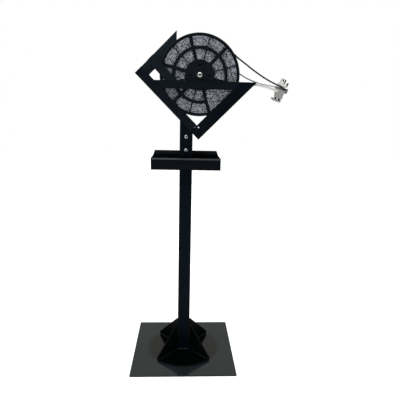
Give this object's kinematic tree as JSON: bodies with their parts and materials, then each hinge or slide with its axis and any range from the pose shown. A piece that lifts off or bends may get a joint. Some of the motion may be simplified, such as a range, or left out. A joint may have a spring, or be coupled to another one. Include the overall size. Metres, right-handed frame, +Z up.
{
  "type": "spool holder stand",
  "caption": "Free-standing floor stand holding a large reel of wound clip strip in a welded flat-bar frame, with a small tray on the post and a wing-nut feed clamp",
  "frame": {"origin": "centre of the post's foot, on the floor under the base plate", "axes": "+Z up, the front of the stand and the reel's front flange face -Y, the feed clamp is on the +X side"},
  "size_m": [0.6022, 0.416, 1.3112],
  "materials": {
    "powder_black": "satin black powder coat",
    "base_finish": "smooth dark grey coat with a clear sheen",
    "zinc_steel": "zinc plated",
    "dark_steel": "blackened steel",
    "moulded_black": "matt moulded plastic",
    "clip_steel": "bright steel clips wound edge to edge",
    "bush_brass": "turned",
    "cast_zinc": "cast and tumbled"
  },
  "bodies": {
    "stand": {"post_tube": "powder_black", "gusset_front_left": "powder_black", "gusset_front_right": "powder_black", "gusset_rear_left": "powder_black", "gusset_rear_right": "powder_black", "front_bar_left": "powder_black", "front_bar_right": "powder_black", "front_cross_bar": "powder_black", "front_strap": "powder_black", "rear_bar_upper": "powder_black", "rear_bar_lower": "powder_black", "rear_upright": "powder_black", "rear_axle_arm": "powder_black", "guide_tab": "powder_black", "rear_tongue": "powder_black", "spacer_lower": "powder_black", "spacer_upper": "powder_black", "tray": "powder_black", "tray_front_hem": "powder_black", "tray_back_hem": "powder_black", "base_plate": "base_finish", "post_screw_upper": "zinc_steel", "post_screw_lower": "zinc_steel", "post_nut_upper": "zinc_steel", "post_nut_lower": "zinc_steel", "axle_screw": "zinc_steel", "axle_nut": "zinc_steel", "axle_rear_washer": "zinc_steel", "guide_rod": "zinc_steel", "clamp_arm": "zinc_steel", "axle_front_washer": "dark_steel", "clamp_pin_left": "dark_steel", "clamp_pin_right": "dark_steel", "clamp_stud": "dark_steel", "feed_strip": "dark_steel", "strip_crimp": "dark_steel", "clamp_block": "cast_zinc", "clamp_foot": "cast_zinc"},
    "reel": {"reel_front_flange": "moulded_black", "reel_rear_flange": "moulded_black", "reel_barrel": "moulded_black", "clip_coil": "clip_steel", "reel_bush": "bush_brass"},
    "pad": {"clamp_pad": "cast_zinc", "pad_end_plate": "dark_steel"},
    "wing": {"wing_nut_hub": "cast_zinc", "wing_left": "cast_zinc", "wing_right": "cast_zinc"}
  },
  "joints": [
    {"name": "reel_spin", "type": "hinge", "parent": "stand", "child": "reel", "pos_m": [0.0485, 0, 1.1435], "axis": [0, 1, 0], "continuous": true},
    {"name": "pad_lift", "type": "slide", "parent": "stand", "child": "pad", "axis": [0.342, 0, 0.9397], "range_m": [0, 0.005]},
    {"name": "wing_turn", "type": "hinge", "parent": "pad", "child": "wing", "pos_m": [0.363, 0.0035, 1.0981], "axis": [0.342, 0, 0.9397], "range_deg": [0, 1800]}
  ],
  "couplings": [
    {"joint": "wing_turn", "follows": "pad_lift", "rad_per_m": 6283.2}
  ]
}
